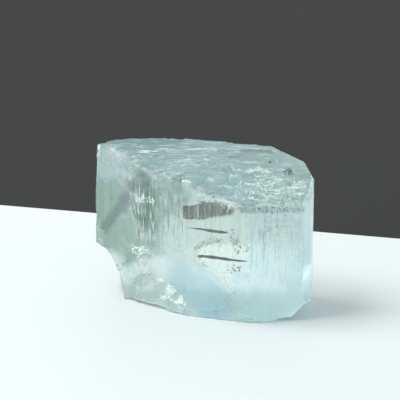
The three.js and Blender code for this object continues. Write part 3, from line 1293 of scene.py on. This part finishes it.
@dataclass
class Inclusions:
    """The cracks and veils inside the crystal, and the flakes and specks at its surface. The glints and rim
    lights are white flakes that stand in for glints: painted highlights.
    """

    cracks: tuple[Fissure, ...] = (
        Fissure("crack_upper", (-3.4, -5.4, 17.7), (4.7, -7.9, 17.5), CRACK, thickest=0.72),
        Fissure("crack_lower", (-1.2, -6.3, 12.3), (8.4, -8.9, 12.1), CRACK, thickest=0.3),
    )
    veils: tuple[tuple[Scatter, Ribbon], ...] = (
        (
            Scatter("veil_arch", VEIL, (), 26.0, (0.14, 0.08, 0.05), 41, shallow=0.02, deep=0.4, tilt=0.8),
            Ribbon(((-2.0, -6.4, 13.6), (-0.4, -6.9, 14.6), (2.0, -7.5, 15.9), (4.0, -8.2, 15.7)), 0.5),
        ),
        (
            Scatter("veil_cluster", VEIL, (), 24.0, (0.14, 0.1, 0.05), 43, shallow=0.02, deep=0.6, tilt=0.8),
            Ribbon(((5.0, -8.2, 18.3), (5.6, -8.6, 17.0), (6.2, -8.8, 15.4), (7.0, -9.0, 13.6)), 0.8),
        ),
    )
    flakes: tuple[Scatter, ...] = (
        Scatter(
            "slope_flecks",
            PALE_FLECK,
            (
                Patch("share", (13.0, -6.8, 25.3), (7.5, 3.0, 3.0), 1.0, 0.8),
                Patch("share", (10.0, -3.5, 27.0), (4.0, 2.0, 2.0), 0.8, 0.8),
                Patch("share", (-3.4, -6.9, 27.1), (1.0, 0.9, 0.5), 1.0, 0.6),
            ),
            per_square=34.0,
            flake=(0.14, 0.065, 0.02),
            seed=3,
            spread=0.7,
            turn=2.0,
            clumps=Noise((330.0, 1000.0, 1000.0), 2.0),
            clumping=0.06,
        ),
        Scatter(
            "crown_flecks",
            WHITE_FLECK_AND_GLINT,
            (
                Patch("share", (-2.0, -2.0, 28.8), (8.0, 4.0, 3.0), 1.0, 0.8),
                Patch("share", (-14.0, 3.5, 28.5), (5.0, 3.0, 2.0), 0.6, 0.8),
                Patch("share", (-19.0, 4.5, 27.0), (3.0, 3.0, 3.0), 0.5, 0.8),
                Patch("share", (-3.5, -7.0, 27.2), (0.9, 1.0, 0.8), 1.0, 0.8),
            ),
            per_square=12.0,
            flake=(0.10, 0.05, 0.02),
            seed=11,
            spread=0.7,
        ),
        Scatter(
            "low_flecks",
            WHITE_FLECK_AND_GLINT,
            (
                Patch("share", (-14.4, 3.1, 28.3), (0.3, 0.4, 0.3), 0.4, 0.6, (2.1, 0.1, 0.8)),
                Patch("share", (-20.4, 4.7, 12.4), (1.0, 1.5, 1.2), 0.6, 0.5),
            ),
            per_square=30.0,
            flake=(0.15, 0.07, 0.02),
            seed=23,
        ),
        RIB_LIGHTS,
        RIB_SHADES,
        Scatter(
            "dark_specks",
            DARK_SPECK,
            (
                Patch("share", (5.8, -9.6, 10.6), (1.4, 1.5, 0.9), 1.0, 0.8),
                Patch("share", (14.6, -10.2, 22.6), (5.0, 1.0, 0.5), 0.8, 0.8),
            ),
            per_square=10.0,
            flake=(0.14, 0.10, 0.04),
            seed=31,
            shallow=0.0,
            deep=0.1,
            tilt=0.8,
        ),
        Scatter(
            "grey_spots",
            GREY_SPOT,
            (
                Patch("share", (-5.0, -5.8, 28.0), (1.6, 1.2, 0.9), 0.9, 0.8),
                Patch("share", (0.4, -7.3, 25.8), (1.4, 1.4, 0.8), 0.2, 0.9, (2.4, -0.4, -0.9)),
                Patch("share", (13.5, -8.4, 24.8), (5.0, 0.9, 0.9), 0.35, 0.8),
            ),
            per_square=16.0,
            flake=(0.17, 0.11, 0.03),
            seed=61,
            deep=0.06,
            clumping=0.3,
        ),
        Scatter(
            "smudge",
            CRACK,
            (Patch("share", (15.9, -2.6, 27.6), (1.0, 0.8, 0.9), 1.0, 0.5),),
            per_square=34.0,
            flake=(0.19, 0.12, 0.03),
            seed=71,
            deep=0.04,
            clumping=0.5,
        ),
        # Painted highlights: white flakes stand in for the glints on the lower left and by the ribs.
        Scatter(
            "glints",
            WHITE_FLECK_AND_GLINT,
            (
                Patch("share", (-11.6, -1.9, 21.6), (2.6, 1.8, 0.7), 1.0, 0.9),
                Patch("share", (-6.4, -4.6, 3.9), (0.8, 2.0, 0.7), 1.0, 0.9, (2.0, -0.6, -1.9)),
                Patch("share", (-6.3, -4.6, 2.6), (2.2, 2.0, 0.7), 1.0, 0.9),
                Patch("share", (-12.0, -1.4, 10.6), (2.8, 2.5, 1.3), 0.7, 0.8),
            ),
            per_square=50.0,
            flake=(0.18, 0.08, 0.02),
            seed=73,
            spread=0.8,
            shallow=-0.03,
            deep=0.03,
            tilt=0.4,
            clumping=0.07,
        ),
        # Painted highlight: white slivers along the top's back rim.
        Scatter(
            "rim_lights",
            WHITE_FLECK_AND_GLINT,
            (Patch("share", (-4.5, 4.4, 29.7), (0.5, 0.4, 0.8), 1.0, 0.8, (9.5, 0.0, 0.0)),),
            per_square=4.0,
            flake=(0.8, 0.06, 0.02),
            seed=77,
            spread=0.7,
            deep=0.04,
            turn=0.1,
            tilt=0.1,
        ),
    )
    ink_spot: Bead = field(
        default_factory=lambda: Bead("ink_spot", (12.5, -0.5, 28.80), (0.22, 0.24, 0.16), DARK_SPECK)
    )

    def build(self, surface: Mesh) -> list[Piece]:
        """Builds them all.

        Args:
            surface: the crystal's surface, which the flakes lie on.

        Returns:
            The pieces, in the order that they are built.
        """
        made = [crack.build() for crack in self.cracks]
        made += [veil.build(ribbon.mesh()) for veil, ribbon in self.veils]
        made += [flakes.build(surface) for flakes in self.flakes]
        return [*made, self.ink_spot.build()]


@dataclass
class Studio:
    """The sill, the backdrop, the lamp, the sky and the camera, in metres."""

    sill_half: float = 1.2
    sill_front: float = -1.5
    sill_back: Span = (0.333, -0.245)
    sill_thickness: float = 0.03
    sill_finish: PlainFinish = PlainFinish("sill", (0.555, 0.58, 0.585), 0.5, (0.54, 0.57, 0.58), 8.0)
    wall_half: float = 0.32
    wall_back: float = 1.6
    wall_height: Span = (-1.0, -0.3)
    wall_finish: PlainFinish = PlainFinish("backdrop", (0.053, 0.05, 0.049), 1.0, (0.058, 0.054, 0.053), 2.0)
    lamp_place: Place = (-0.52, 0.0, 0.78)
    lamp_target: Place = (0.0, 0.0, 0.015)
    lamp_size: float = 0.55
    lamp_watts: float = 9.8
    lamp_colour: Colour = (1.0, 0.99, 0.96)
    sky_colour: Colour = (0.90, 0.985, 1.0)
    sky_strength: float = 0.90
    elevation: float = math.radians(20)
    distance: float = 480 * MM
    lens: float = 225.0
    near_clip: float = 0.01
    aim: Vector = field(default_factory=lambda: Vector((-0.82, 1.92, 20.3)) * MM)
    clear_bounces: int = 32
    glossy_bounces: int = 24
    diffuse_bounces: int = 8

    def sill(self) -> Piece:
        """Builds the pale sill, whose far edge runs a little askew behind the crystal.

        Returns:
            The sill.
        """
        half, (left, right) = self.sill_half, self.sill_back
        outline = ((-half, left), (-half, self.sill_front), (half, self.sill_front), (half, right))
        top = [(x, y, 0.0) for x, y in outline]
        bottom = [(x, y, -self.sill_thickness) for x, y in outline]
        sides = [[i, 4 + i, 4 + (i + 1) % 4, (i + 1) % 4] for i in range(4)]
        mesh = bpy.data.meshes.new("sill")
        mesh.from_pydata(top + bottom, [], [[0, 1, 2, 3], [7, 6, 5, 4], *sides])
        return show("sill", mesh, self.sill_finish.material())

    def backdrop(self) -> Piece:
        """Builds the dark wall far behind the sill.

        Returns:
            The wall.
        """
        half, (low, high) = self.wall_half, self.wall_height
        outline = ((-half, low), (half, low), (half, high), (-half, high))
        mesh = bpy.data.meshes.new("backdrop")
        mesh.from_pydata([(x, self.wall_back, z) for x, z in outline], [], [[0, 1, 2, 3]])
        return show("backdrop", mesh, self.wall_finish.material())

    def lamp(self) -> None:
        """Adds the square window lamp, which faces the crystal."""
        data = bpy.data.lights.new("window", "AREA")
        data.size = self.lamp_size
        data.energy = self.lamp_watts
        data.color = self.lamp_colour
        made = bpy.data.objects.new("window", data)
        made.location = self.lamp_place
        facing = Vector(self.lamp_target) - made.location
        made.rotation_euler = facing.to_track_quat("-Z", "Y").to_euler()
        bpy.context.scene.collection.objects.link(made)

    def sky(self) -> None:
        """Adds the even light from all round."""
        world = bpy.data.worlds.new("world")
        world.use_nodes = True
        background = world.node_tree.nodes["Background"]
        background.inputs["Color"].default_value = (*self.sky_colour, 1.0)
        background.inputs["Strength"].default_value = self.sky_strength
        bpy.context.scene.world = world

    def camera(self) -> None:
        """Adds the camera, level and square to the crystal's front, looking down on it."""
        data = bpy.data.cameras.new("camera")
        data.lens = self.lens
        data.clip_start = self.near_clip
        made = bpy.data.objects.new("camera", data)
        back = Vector((0, -math.cos(self.elevation), math.sin(self.elevation)))
        made.location = self.aim + back * self.distance
        made.rotation_euler = (-back).to_track_quat("-Z", "Y").to_euler()
        bpy.context.scene.collection.objects.link(made)
        bpy.context.scene.camera = made

    def build(self) -> None:
        """Builds the whole set."""
        self.sill()
        self.backdrop()
        self.lamp()
        self.sky()
        bpy.context.scene.view_settings.view_transform = "Standard"
        cycles = bpy.context.scene.cycles
        cycles.max_bounces = self.clear_bounces
        cycles.glossy_bounces = self.glossy_bounces
        cycles.transmission_bounces = self.clear_bounces
        cycles.diffuse_bounces = self.diffuse_bounces
        self.camera()


def main() -> None:
    """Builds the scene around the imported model."""
    logging.basicConfig(level=logging.INFO, format="%(name)s: %(message)s")
    crystal = Crystal(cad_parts[NODE]).build()
    for piece in (crystal, *Inclusions().build(crystal.data)):
        log.info("%s: %d faces", piece.name, len(piece.data.polygons))
    Studio().build()
    log.info("studio: sill, backdrop, lamp, sky and camera")


if __name__ == "__main__":
    main()
